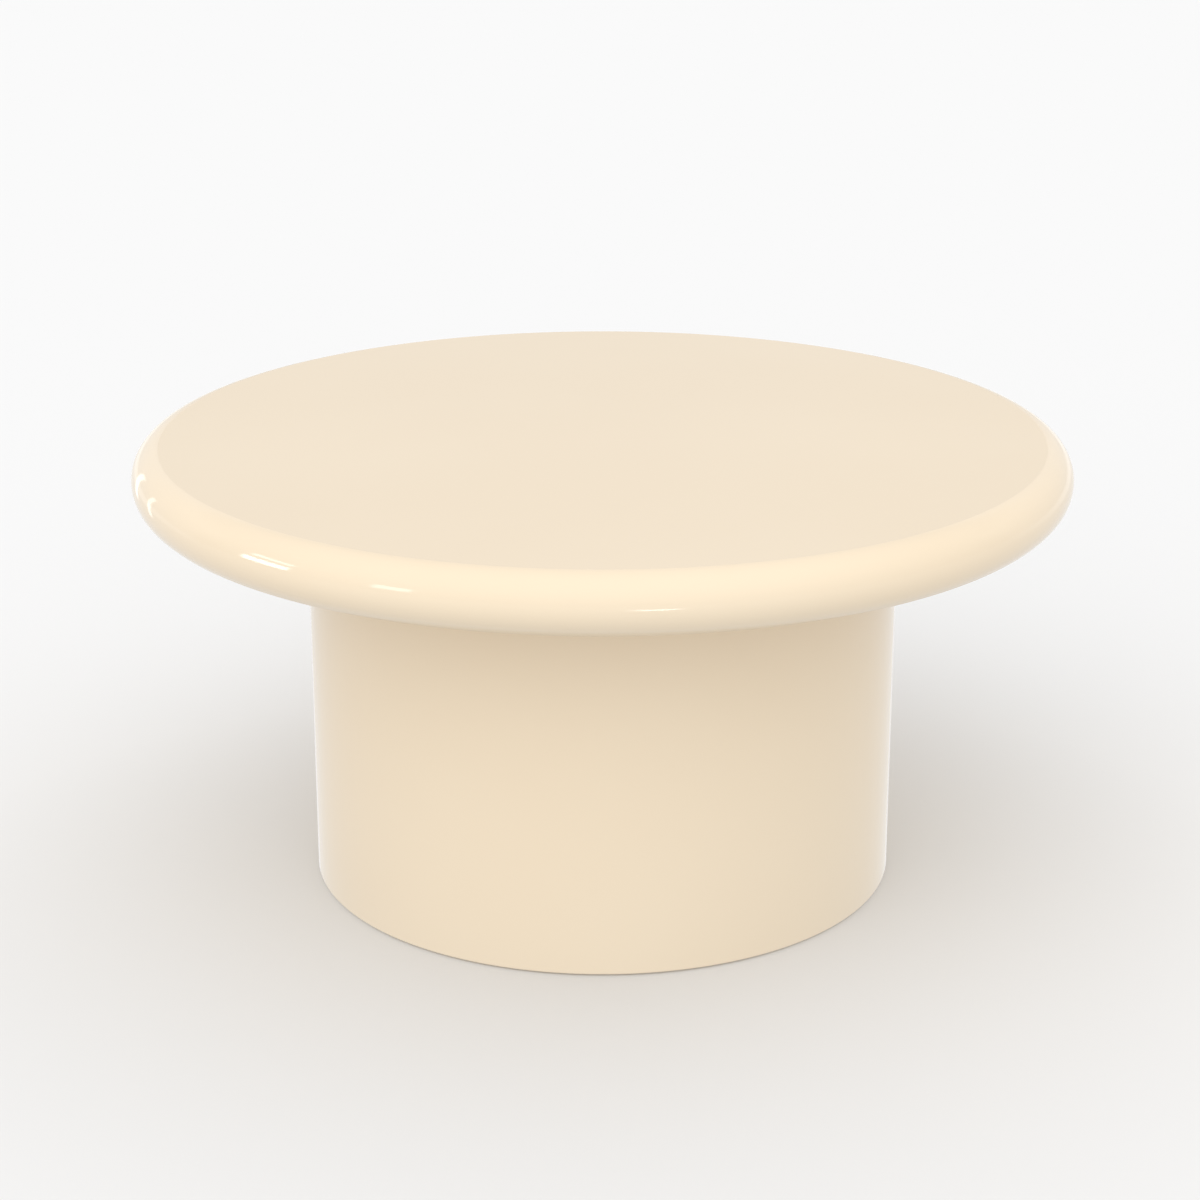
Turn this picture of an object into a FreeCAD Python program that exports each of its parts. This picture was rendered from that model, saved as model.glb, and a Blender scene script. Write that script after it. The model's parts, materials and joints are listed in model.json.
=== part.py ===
"""Round cocktail table: a thick bullnosed top on a plain drum base, all in lacquered board.

The top is a hollow box: an upper and a lower skin glued over a rim of butted segments, a hub
and flat spokes. The drum is bending ply and a hard facing wrapped round three formers and a ring
of upright stiles. The top is bolted down from inside the drum, and four screw feet level it.

Lengths are millimetres. The origin is on the floor under the middle of the table, with Z up.
"""
import FreeCAD
import Part
import math
import os

# Whole table
table_height = 444.5
top_diameter = 914.0
drum_diameter = 580.0
floor_gap = 2.0

# Fits
fit_clearance = 0.1
glue_line = 0.1
running_clearance = 0.08
overrun = 5.0

# Top
skin_thickness = 18.0
core_thickness = 22.0
rim_ring_width = 75.0
rim_segment_count = 8
spoke_width = 45.0
spoke_housing_depth = 10.0
biscuit_length = 53.0
biscuit_width = 19.0
biscuit_thickness = 4.0

# Bolts that hold the top, with the inserts and washers they use
bolt_count = 4
bolt_edge_distance = 128.0
bolt_diameter = 8.0
bolt_length = 40.0
bolt_head_across_flats = 13.0
bolt_head_height = 5.3
bolt_hole_diameter = 9.0
washer_diameter = 24.0
washer_thickness = 2.0
insert_diameter = 12.0
insert_length = 25.0
hub_edge_margin = 100.0

# Dowels that locate the top on the drum
dowel_count = 2
dowel_diameter = 10.0
dowel_length = 30.0
dowel_edge_distance = 70.0

# Drum
facing_thickness = 4.0
liner_thickness = 8.0
liner_seam_gap = 1.0
drum_foot_round = 1.5
former_thickness = 18.0
middle_former_width = 60.0
lower_former_width = 92.0

# Stiles between the formers, with the screws that hold them
stile_count = 8
stile_thickness = 18.0
stile_width = 60.0
tenon_length = 9.0
tenon_shoulder = 10.0
screw_diameter = 5.0
screw_length = 50.0
screw_head_diameter = 10.0
screw_head_height = 3.0
screw_point_length = 6.0

# Levelling feet
leveller_count = 4
leveller_edge_distance = 53.0
leveller_travel = 10.0
thread_diameter = 8.0
stem_spare_length = 10.0
pad_diameter = 40.0
pad_height = 7.0
pad_rim_height = 4.0
pad_shoulder_diameter = 22.0
pad_foot_round = 1.2
pad_floor_thickness = 2.0
button_diameter = 12.0
button_height = 2.5
collar_across_flats = 14.0
collar_height = 3.0
bearing_gap = 0.2
tee_flange_diameter = 24.0
tee_flange_thickness = 1.6
tee_barrel_diameter = 10.5
tee_barrel_length = 12.0

# Worked out from the sizes above
top_radius = top_diameter / 2
top_thickness = 2 * skin_thickness + core_thickness
nose_radius = top_thickness / 2
nose_centre_radius = top_radius - nose_radius
underside_z = table_height - top_thickness
core_z = underside_z + skin_thickness
nose_centre_z = underside_z + nose_radius
rim_inner_radius = top_radius - rim_ring_width

drum_radius = drum_diameter / 2
drum_height = underside_z - floor_gap
liner_outer_radius = drum_radius - facing_thickness - glue_line
liner_inner_radius = liner_outer_radius - liner_thickness
former_radius = liner_inner_radius - glue_line
upper_former_z = underside_z - former_thickness

collar_z = pad_height + bearing_gap
tee_flange_z = collar_z + collar_height + bearing_gap
lower_former_z = tee_flange_z + tee_flange_thickness
stile_z = lower_former_z + former_thickness
stile_height = upper_former_z - stile_z
middle_former_z = stile_z + (stile_height - former_thickness) / 2
stile_inner_radius = former_radius - stile_width
stile_middle_radius = former_radius - stile_width / 2

bolt_circle_radius = former_radius - bolt_edge_distance
hub_radius = bolt_circle_radius + hub_edge_margin
dowel_circle_radius = former_radius - dowel_edge_distance
leveller_circle_radius = former_radius - leveller_edge_distance

ORIGIN = FreeCAD.Vector(0, 0, 0)
UP = FreeCAD.Vector(0, 0, 1)
FULL_TURN = 360.0


def point(x, z):
    """A point of a profile, drawn in the XZ plane."""
    return FreeCAD.Vector(x, 0, z)


def cylinder(radius, height, z, x=0.0):
    return Part.makeCylinder(radius, height, point(x, z))


def ring(outer_radius, inner_radius, height, z):
    bore = cylinder(inner_radius, height + 2 * overrun, z - overrun)
    return cylinder(outer_radius, height, z).cut(bore)


def radial_bar(inner_radius, outer_radius, width, height, z):
    """A bar along X, from one radius to another, centred on the XZ plane."""
    corner = FreeCAD.Vector(inner_radius, -width / 2, z)
    return Part.makeBox(outer_radius - inner_radius, width, height, corner)


def hexagon(across_flats, height, z, x=0.0):
    """A hexagonal prism standing on z."""
    corner_radius = across_flats / math.sqrt(3)
    corners = []
    for corner in range(7):
        angle = math.radians(corner * 60)
        offset = FreeCAD.Vector(math.cos(angle), math.sin(angle), 0) * corner_radius
        corners.append(point(x, z) + offset)
    return Part.Face(Part.makePolygon(corners)).extrude(UP * height)


def turned(points, x=0.0):
    """A solid of revolution about the upright axis at x, from a closed outline of straight lines."""
    outline = []
    for radius, z in list(points) + [points[0]]:
        outline.append(point(x + radius, z))
    return Part.Face(Part.makePolygon(outline)).revolve(point(x, 0), UP, FULL_TURN)


def at_angle(shape, angle):
    """A copy of the shape turned about the table's axis."""
    return shape.rotated(ORIGIN, UP, angle)


def spread(shape, count, first_angle=0.0):
    """Copies of the shape, evenly spaced round the table's axis."""
    return [at_angle(shape, first_angle + FULL_TURN * i / count) for i in range(count)]


def rim_angle(i):
    """Where rim joint i lies; a spoke stands half a segment further round."""
    return FULL_TURN * i / rim_segment_count


half_segment = rim_angle(1) / 2
half_stile_step = FULL_TURN / stile_count / 2
half_leveller_step = FULL_TURN / leveller_count / 2
half_bolt_step = FULL_TURN / bolt_count / 2


def nose_point(z):
    """The point of the bullnose at height z."""
    rise = z - nose_centre_z
    return point(nose_centre_radius + math.sqrt(max(nose_radius ** 2 - rise ** 2, 0)), z)


def top_layer(z_low, z_high, inner_radius=0.0, angle=FULL_TURN):
    """One board of the top between two heights, with its share of the bullnose."""
    low, high = nose_point(z_low), nose_point(z_high)
    nose = Part.Arc(low, nose_point((z_low + z_high) / 2), high).toShape()
    edges = [Part.makeLine(point(inner_radius, z_low), low), nose]
    edges.append(Part.makeLine(high, point(inner_radius, z_high)))
    edges.append(Part.makeLine(point(inner_radius, z_high), point(inner_radius, z_low)))
    return Part.Face(Part.Wire(edges)).revolve(ORIGIN, UP, angle)


def biscuit(clearance=0.0):
    """A flat pointed-oval tongue lying across the first rim joint, or its slot."""
    half_length = biscuit_length / 2 + clearance
    half_width = biscuit_width / 2 + clearance
    height = biscuit_thickness + 2 * clearance
    middle_radius = rim_inner_radius + rim_ring_width / 2
    z = nose_centre_z - height / 2
    ends = [FreeCAD.Vector(middle_radius + side * half_length, 0, z) for side in (-1, 1)]
    arcs = []
    for side in (-1, 1):
        belly = FreeCAD.Vector(middle_radius, side * half_width, z)
        arcs.append(Part.Arc(ends[0], belly, ends[1]).toShape())
    return Part.Face(Part.Wire(Part.__sortEdges__(arcs))).extrude(UP * height)


def spoke(clearance=0.0):
    """A flat bar from hub to rim with both ends housed, or the space that it takes."""
    inner = hub_radius - spoke_housing_depth - clearance
    outer = rim_inner_radius + spoke_housing_depth + clearance
    return radial_bar(inner, outer, spoke_width + 2 * clearance, core_thickness, core_z)


def rim_segment():
    """The first segment of the rim, housed for its spoke and slotted for two biscuits."""
    blank = top_layer(core_z, core_z + core_thickness, rim_inner_radius, rim_angle(1))
    slot = biscuit(fit_clearance)
    housing = at_angle(spoke(fit_clearance), half_segment)
    return blank.cut([slot, at_angle(slot, rim_angle(1)), housing])


def core_hub():
    """The disc in the middle of the core, which the inserts bite into."""
    blank = cylinder(hub_radius, core_thickness, core_z)
    housings = spread(spoke(fit_clearance), rim_segment_count, half_segment)
    return blank.cut(housings + insert_holes())


def insert_holes():
    depth = insert_length + fit_clearance
    hole = cylinder(insert_diameter / 2 + fit_clearance, depth, underside_z, bolt_circle_radius)
    return spread(hole, bolt_count)


def dowel(clearance=0.0):
    """A plain dowel half in the drum and half in the top, or its hole."""
    length = dowel_length + 2 * clearance
    z = underside_z - length / 2
    return cylinder(dowel_diameter / 2 + clearance, length, z, dowel_circle_radius)


def dowels(clearance=0.0):
    return spread(dowel(clearance), dowel_count, half_bolt_step)


def lower_skin():
    blank = top_layer(underside_z, core_z)
    return blank.cut(insert_holes() + dowels(fit_clearance))


def threaded_insert():
    z = underside_z
    body = cylinder(insert_diameter / 2, insert_length, z, bolt_circle_radius)
    bore = cylinder(bolt_diameter / 2 + running_clearance, insert_length, z, bolt_circle_radius)
    return body.cut(bore)


def top_bolt():
    """A hexagon bolt that comes up through washer and former into its insert."""
    seat_z = upper_former_z - washer_thickness
    shank = cylinder(bolt_diameter / 2, bolt_length, seat_z, bolt_circle_radius)
    head_z = seat_z - bolt_head_height
    head = hexagon(bolt_head_across_flats, bolt_head_height, head_z, bolt_circle_radius)
    return head.fuse(shank).removeSplitter()


def washer():
    z = upper_former_z - washer_thickness
    body = cylinder(washer_diameter / 2, washer_thickness, z, bolt_circle_radius)
    bore = cylinder(bolt_hole_diameter / 2, washer_thickness, z, bolt_circle_radius)
    return body.cut(bore)


def drum_facing():
    """The outer skin of the drum, eased along its foot."""
    shell = ring(drum_radius, drum_radius - facing_thickness, drum_height, floor_gap)
    foot = []
    for edge in shell.Edges:
        box = edge.BoundBox
        if box.ZMax < floor_gap + drum_foot_round and box.XMax > drum_radius - facing_thickness / 2:
            foot.append(edge)
    return shell.makeFillet(min(drum_foot_round, facing_thickness / 2), foot[:1])


def drum_liner():
    """The bending ply under the facing, with its ends meeting at the back."""
    shell = ring(liner_outer_radius, liner_inner_radius, drum_height, floor_gap)
    reach = liner_outer_radius + overrun
    seam = radial_bar(0, reach, liner_seam_gap, drum_height + 2 * overrun, floor_gap - overrun)
    return shell.cut(at_angle(seam, FULL_TURN / 4))


def stile_bar(inner_radius, outer_radius, height, z, clearance=0.0):
    width = stile_thickness + 2 * clearance
    return radial_bar(inner_radius, outer_radius, width, height, z)


def tenons(clearance=0.0):
    """The stub tenons at both ends of a stile, or their mortises."""
    inner = stile_inner_radius + tenon_shoulder - clearance
    outer = former_radius - tenon_shoulder + clearance
    length = tenon_length + clearance
    low = stile_bar(inner, outer, length, stile_z - length, clearance)
    high = stile_bar(inner, outer, length, upper_former_z, clearance)
    return low, high


def stile_screw(head_z, direction, clearance=0.0):
    """A countersunk screw driven from head_z along +Z or -Z, or the hole that it needs."""
    shank = screw_diameter / 2 + clearance
    head = screw_head_diameter / 2 + clearance
    tip = screw_length + clearance
    depths = [(0, 0), (head, 0), (shank, screw_head_height), (shank, tip - screw_point_length), (0, tip)]
    return turned([(radius, head_z + direction * depth) for radius, depth in depths], stile_middle_radius)


def upper_screw(clearance=0.0):
    return stile_screw(underside_z, -1, clearance)


def lower_screw(clearance=0.0):
    return stile_screw(lower_former_z, 1, clearance)


def stile():
    """An upright fin, rounded to the liner, with stub tenons, halved over the middle former."""
    blank = stile_bar(stile_inner_radius, former_radius + overrun, stile_height, stile_z)
    body = blank.common(cylinder(former_radius, stile_height, stile_z))
    low, high = tenons()
    halving_height = former_thickness + 2 * fit_clearance
    halving_z = middle_former_z - fit_clearance
    halving = stile_bar(
        stile_inner_radius - overrun, stile_middle_radius + fit_clearance, halving_height, halving_z, overrun
    )
    fin = body.fuse([low, high]).removeSplitter()
    return fin.cut([halving, upper_screw(fit_clearance), lower_screw(fit_clearance)])


def upper_former():
    """The plate under the top, drilled for bolts, dowels and stile screws."""
    plate = cylinder(former_radius, former_thickness, upper_former_z)
    hole_z = upper_former_z - overrun
    depth = former_thickness + 2 * overrun
    hole = cylinder(bolt_hole_diameter / 2, depth, hole_z, bolt_circle_radius)
    cuts = spread(hole, bolt_count) + dowels(fit_clearance)
    cuts += spread(tenons(fit_clearance)[1], stile_count, half_stile_step)
    cuts += spread(upper_screw(fit_clearance), stile_count, half_stile_step)
    return plate.cut(cuts)


def middle_former():
    """The ring half-way up, notched from outside for each stile."""
    inner_radius = former_radius - middle_former_width
    blank = ring(former_radius, inner_radius, former_thickness, middle_former_z)
    notch_inner = stile_middle_radius - fit_clearance
    height = former_thickness + 2 * overrun
    notch = stile_bar(
        notch_inner, former_radius + overrun, height, middle_former_z - overrun, fit_clearance
    )
    return blank.cut(spread(notch, stile_count, half_stile_step))


def lower_former():
    """The ring at the foot, drilled for tee nuts and stile screws."""
    inner_radius = former_radius - lower_former_width
    blank = ring(former_radius, inner_radius, former_thickness, lower_former_z)
    hole_radius = tee_barrel_diameter / 2 + fit_clearance
    depth = former_thickness + 2 * overrun
    hole = cylinder(hole_radius, depth, lower_former_z - overrun, leveller_circle_radius)
    cuts = spread(hole, leveller_count, half_leveller_step)
    cuts += spread(tenons(fit_clearance)[0], stile_count, half_stile_step)
    cuts += spread(lower_screw(fit_clearance), stile_count, half_stile_step)
    return blank.cut(cuts)


def tee_nut():
    """A flanged nut driven up into the lower former from below."""
    x = leveller_circle_radius
    flange = cylinder(tee_flange_diameter / 2, tee_flange_thickness, tee_flange_z, x)
    barrel = cylinder(tee_barrel_diameter / 2, tee_barrel_length, lower_former_z, x)
    bore_height = tee_flange_thickness + tee_barrel_length + 2 * overrun
    bore_radius = thread_diameter / 2 + running_clearance
    bore = cylinder(bore_radius, bore_height, tee_flange_z - overrun, x)
    return flange.fuse(barrel).removeSplitter().cut(bore)


def leveller_stem():
    """A screw stem with a collar to turn it by and a button that turns inside the pad."""
    x = leveller_circle_radius
    button_z = pad_floor_thickness + bearing_gap
    tip_z = lower_former_z + tee_barrel_length + leveller_travel + stem_spare_length
    stem = cylinder(thread_diameter / 2, tip_z - button_z, button_z, x)
    button = cylinder(button_diameter / 2, button_height, button_z, x)
    collar = hexagon(collar_across_flats, collar_height, collar_z, x)
    return stem.fuse([button, collar]).removeSplitter()


def leveller_pad():
    """A moulded foot, domed on top, snapped over the stem's button."""
    x = leveller_circle_radius
    foot = pad_diameter / 2
    shoulder = pad_shoulder_diameter / 2
    outline = [(0, 0), (foot - pad_foot_round, 0), (foot, pad_foot_round), (foot, pad_rim_height)]
    outline += [(shoulder, pad_height), (0, pad_height)]
    cavity_height = button_height + 2 * bearing_gap
    cavity_radius = button_diameter / 2 + running_clearance
    cavity = cylinder(cavity_radius, cavity_height, pad_floor_thickness, x)
    neck = cylinder(thread_diameter / 2 + running_clearance, pad_height, pad_floor_thickness, x)
    return turned(outline, x).cut([cavity, neck])


def numbered(name, shapes):
    """Names for repeated pieces, counted from 1."""
    return {f"{name}_{i + 1}": shape for i, shape in enumerate(shapes)}


def pieces():
    """Every piece of the table by name."""
    made = {
        "upper_skin": top_layer(core_z + core_thickness, table_height),
        "lower_skin": lower_skin(),
        "core_hub": core_hub(),
        "rim_biscuits": Part.makeCompound(spread(biscuit(), rim_segment_count)),
        "threaded_inserts": Part.makeCompound(spread(threaded_insert(), bolt_count)),
        "top_bolts": Part.makeCompound(spread(top_bolt(), bolt_count)),
        "bolt_washers": Part.makeCompound(spread(washer(), bolt_count)),
        "locating_dowels": Part.makeCompound(dowels()),
        "drum_facing": drum_facing(),
        "drum_liner": drum_liner(),
        "upper_former": upper_former(),
        "middle_former": middle_former(),
        "lower_former": lower_former(),
        "upper_stile_screws": Part.makeCompound(spread(upper_screw(), stile_count, half_stile_step)),
        "lower_stile_screws": Part.makeCompound(spread(lower_screw(), stile_count, half_stile_step)),
        "tee_nuts": Part.makeCompound(spread(tee_nut(), leveller_count, half_leveller_step)),
    }
    made.update(numbered("rim_segment", spread(rim_segment(), rim_segment_count)))
    made.update(numbered("core_spoke", spread(spoke(), rim_segment_count, half_segment)))
    made.update(numbered("stile", spread(stile(), stile_count, half_stile_step)))
    made.update(numbered("leveller_stem", spread(leveller_stem(), leveller_count, half_leveller_step)))
    made.update(numbered("leveller_pad", spread(leveller_pad(), leveller_count, half_leveller_step)))
    return made


os.makedirs("parts", exist_ok=True)
for name, shape in pieces().items():
    shape.exportStep(os.path.join("parts", name + ".step"))
    print(f"{name}: {len(shape.Solids)} solids, {shape.Volume / 1000:.1f} cm3, valid {shape.isValid()}")
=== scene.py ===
"""Dresses the round cocktail table: gloss lacquer, raw ply and hardware underneath, and a pale studio."""
import json
import math
from typing import NamedTuple

import bmesh
import bpy
from bpy.props import FloatProperty, FloatVectorProperty, IntProperty, PointerProperty
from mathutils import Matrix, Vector


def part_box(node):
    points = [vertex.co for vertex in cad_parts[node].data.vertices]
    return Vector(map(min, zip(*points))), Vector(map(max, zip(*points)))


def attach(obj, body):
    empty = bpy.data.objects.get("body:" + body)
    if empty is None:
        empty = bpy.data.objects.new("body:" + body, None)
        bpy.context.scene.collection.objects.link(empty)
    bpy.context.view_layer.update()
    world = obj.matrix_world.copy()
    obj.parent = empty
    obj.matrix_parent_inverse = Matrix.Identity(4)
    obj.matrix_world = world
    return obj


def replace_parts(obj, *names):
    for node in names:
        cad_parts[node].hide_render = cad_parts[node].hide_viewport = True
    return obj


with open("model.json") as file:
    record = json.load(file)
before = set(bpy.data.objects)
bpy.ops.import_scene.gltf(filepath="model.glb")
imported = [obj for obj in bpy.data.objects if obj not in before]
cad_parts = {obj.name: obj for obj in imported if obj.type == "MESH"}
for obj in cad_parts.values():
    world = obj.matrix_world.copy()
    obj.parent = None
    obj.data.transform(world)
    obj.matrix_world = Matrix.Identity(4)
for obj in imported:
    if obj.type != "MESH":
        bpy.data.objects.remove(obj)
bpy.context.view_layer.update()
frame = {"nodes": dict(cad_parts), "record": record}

bl_info = {
    "name": "Round Cocktail Table",
    "version": (1, 0, 0),
    "blender": (4, 5, 0),
    "location": "3D View > Sidebar > Table",
    "description": "Lacquer, carcass, fixings, feet and studio for a round cocktail table on a drum",
    "category": "Object",
}

NODES = frame["nodes"]
MM = 0.001
FULL_TURN = 2 * math.pi
SHARP_ANGLE = math.radians(32)
TINY = 1e-7
EDGE_FILM = "lacquer_edge"
BOLT_COUNT = 4

# Where the film's back and the top of the drum's film lie, in shares of the film's thickness
FILM_BACK_SHARE = 0.1
DRUM_TOP_SHARE = 0.05

# How far from a crease of the film the ring of points lies that keeps the faces there flat
SUPPORT_GAP = 1.5 * MM

# Rings across the table's face, in shares of its radius, and steps of small round shapes
FACE_RING_SHARES = (0.0, 0.25, 0.5, 0.75)
FOOT_STEPS = 8
PAD_STEPS = 4
RECESS_STEPS = 8
THREAD_STEPS = 6

# Hexagons: the angle of a side, and the chamfer's flat disc as a share of the flats and its slope
HEX_SIDE = FULL_TURN / 6
CHAMFER_SHARE = 0.95
CHAMFER_SLOPE = math.tan(math.radians(30))

# Plywood in pairs of veneers: slack that keeps glue off the faces, the board's middle and half a glue line
PLY_SLACK = 1.02
PLY_MIDDLE_SHARE = 0.25
GLUE_SHARE = 0.03

# Length of the wood's figure along X, Y and Z, and depth of the finishes' relief, in metres
FORMER_GRAIN = (0.25, 0.007, 0.007)
UPRIGHT_GRAIN = (0.007, 0.007, 0.25)
GRAIN_DEPTH = 0.15 * MM
PEEL_DEPTH = 0.004 * MM

# Tints of the wood's figure, by place in it
GRAIN_TINTS = ((0.3, (0.78, 0.74, 0.68)), (0.5, (0.97, 0.96, 0.94)), (0.72, (1.0, 1.0, 1.0)))


def numbered(name, count):
    """Names of repeated pieces, counted from 1."""
    return [f"{name}_{i + 1}" for i in range(count)]


def reach(node):
    """How far a CAD node reaches from the table's axis."""
    return max(math.hypot(v.co.x, v.co.y) for v in NODES[node].data.vertices)


def bore(node):
    """How near a CAD node comes to the table's axis."""
    return min(math.hypot(v.co.x, v.co.y) for v in NODES[node].data.vertices)


# Sizes read from the frame, in metres
TOP_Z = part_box("upper_skin")[1].z
UNDERSIDE_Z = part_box("lower_skin")[0].z
TOP_RADIUS = reach("rim_segment_1")
NOSE_RADIUS = (TOP_Z - UNDERSIDE_Z) / 2
NOSE_CENTRE_RADIUS = TOP_RADIUS - NOSE_RADIUS
NOSE_CENTRE_Z = UNDERSIDE_Z + NOSE_RADIUS
DRUM_RADIUS = reach("drum_facing")
DRUM_FOOT_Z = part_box("drum_facing")[0].z
FACING_BORE = bore("drum_facing")
LINER_OUTSIDE = reach("drum_liner")
LINER_BORE = bore("drum_liner")
STILE_COUNT = sum(name.startswith("stile_") for name in NODES)
STILE_STEP = FULL_TURN / STILE_COUNT
FOOT_COUNT = sum(name.startswith("leveller_pad_") for name in NODES)


# Settings

class LacquerSettings(bpy.types.PropertyGroup):
    """The gloss coat over top and drum."""

    colour: FloatVectorProperty(
        name="Colour", description="Pigment of the lacquer",
        subtype="COLOR", default=(0.85, 0.716, 0.536),
    )
    colour_shift: FloatVectorProperty(
        name="Colour shift", description="Pigment where the coat lies a little thicker",
        subtype="COLOR", default=(0.84, 0.703, 0.522),
    )
    film: FloatProperty(
        name="Film", description="Thickness of the coat", default=0.2 * MM, unit="LENGTH", precision=5
    )
    swell: FloatProperty(
        name="Swell", description="How much fuller the coat is where face and round edge meet",
        default=0.15 * MM, unit="LENGTH", precision=5,
    )
    foot_round: FloatProperty(
        name="Foot round", description="Easing of the drum's lower edge",
        default=1.5 * MM, unit="LENGTH",
    )
    gloss: FloatProperty(
        name="Coat roughness", description="Blur of the reflections in the coat",
        default=0.06, subtype="FACTOR",
    )
    polish_height: FloatProperty(
        name="Polish height", description="How far up from the underside the coat gains its gloss",
        default=9.0 * MM, unit="LENGTH",
    )
    steps: IntProperty(name="Steps", description="Faces round the top and the drum", default=360)
    nose_steps: IntProperty(name="Nose steps", description="Faces across the round edge", default=48)


class CarcassSettings(bpy.types.PropertyGroup):
    """Raw plywood and fibreboard inside the table."""

    plies: IntProperty(name="Plies", description="Veneers in a board", default=13)
    liner_plies: IntProperty(name="Liner plies", description="Veneers in the bent liner", default=5)
    pale: FloatVectorProperty(
        name="Long grain", description="Veneers that show their length",
        subtype="COLOR", default=(0.69, 0.53, 0.34),
    )
    dark: FloatVectorProperty(
        name="End grain", description="Veneers that show their ends",
        subtype="COLOR", default=(0.43, 0.29, 0.16),
    )
    glue: FloatVectorProperty(
        name="Glue", description="Lines between veneers", subtype="COLOR", default=(0.2, 0.125, 0.07)
    )
    fibre: FloatVectorProperty(
        name="Fibreboard", description="Raw fibreboard of the core",
        subtype="COLOR", default=(0.5, 0.37, 0.24),
    )
    beech: FloatVectorProperty(
        name="Beech", description="Biscuits and dowels", subtype="COLOR", default=(0.66, 0.46, 0.3)
    )
    steps: IntProperty(name="Steps", description="Faces round the liner", default=240)
    seam: FloatProperty(
        name="Seam", description="Gap where the liner's ends meet",
        default=1.0 * MM, unit="LENGTH", precision=5,
    )


class FixingSettings(bpy.types.PropertyGroup):
    """Bolts, washers, screws and tee nuts."""

    zinc: FloatVectorProperty(
        name="Zinc", description="Bright zinc plate", subtype="COLOR", default=(0.66, 0.67, 0.68)
    )
    brass: FloatVectorProperty(
        name="Brass", description="Turned brass", subtype="COLOR", default=(0.75, 0.6, 0.3)
    )
    bolt_diameter: FloatProperty(
        name="Bolt", description="Diameter of bolts and stems",
        default=8.0 * MM, unit="LENGTH", precision=5,
    )
    bolt_pitch: FloatProperty(
        name="Bolt pitch", description="Rise of a machine thread in one turn",
        default=1.25 * MM, unit="LENGTH", precision=5,
    )
    bolt_groove: FloatProperty(
        name="Bolt groove", description="Depth of a machine thread",
        default=0.65 * MM, unit="LENGTH", precision=5,
    )
    edge: FloatProperty(
        name="Edge", description="Easing of washers and nuts",
        default=0.3 * MM, unit="LENGTH", precision=5,
    )
    washer_bore: FloatProperty(
        name="Washer hole", description="Diameter of a washer's hole",
        default=8.4 * MM, unit="LENGTH", precision=5,
    )
    tee_barrel: FloatProperty(
        name="Tee barrel", description="Diameter of a tee nut's barrel",
        default=10.5 * MM, unit="LENGTH", precision=5,
    )
    tee_flange: FloatProperty(
        name="Tee flange", description="Thickness of a tee nut's flange",
        default=1.6 * MM, unit="LENGTH", precision=5,
    )
    tee_bore: FloatProperty(
        name="Tee bore", description="Diameter of a tee nut's bore",
        default=8.16 * MM, unit="LENGTH", precision=5,
    )
    screw_diameter: FloatProperty(
        name="Screw", description="Diameter of the wood screws",
        default=5.0 * MM, unit="LENGTH", precision=5,
    )
    screw_pitch: FloatProperty(
        name="Screw pitch", description="Rise of a wood thread in one turn",
        default=2.4 * MM, unit="LENGTH", precision=5,
    )
    screw_groove: FloatProperty(
        name="Screw groove", description="Depth of a wood thread",
        default=0.8 * MM, unit="LENGTH", precision=5,
    )
    screw_head: FloatProperty(
        name="Screw head", description="Height of a countersunk head",
        default=3.0 * MM, unit="LENGTH", precision=5,
    )
    screw_shank: FloatProperty(
        name="Screw shank", description="Plain length under the head", default=15.0 * MM, unit="LENGTH"
    )
    screw_point: FloatProperty(
        name="Screw point", description="Length of the point", default=6.0 * MM, unit="LENGTH"
    )
    recess_reach: FloatProperty(
        name="Recess reach", description="Half the span of the cross recess",
        default=2.7 * MM, unit="LENGTH", precision=5,
    )
    recess_width: FloatProperty(
        name="Recess width", description="Width of an arm of the recess",
        default=1.1 * MM, unit="LENGTH", precision=5,
    )
    recess_depth: FloatProperty(
        name="Recess depth", description="Depth of the recess at its middle",
        default=1.9 * MM, unit="LENGTH", precision=5,
    )
    steps: IntProperty(name="Steps", description="Faces round a fixing", default=48)


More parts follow.
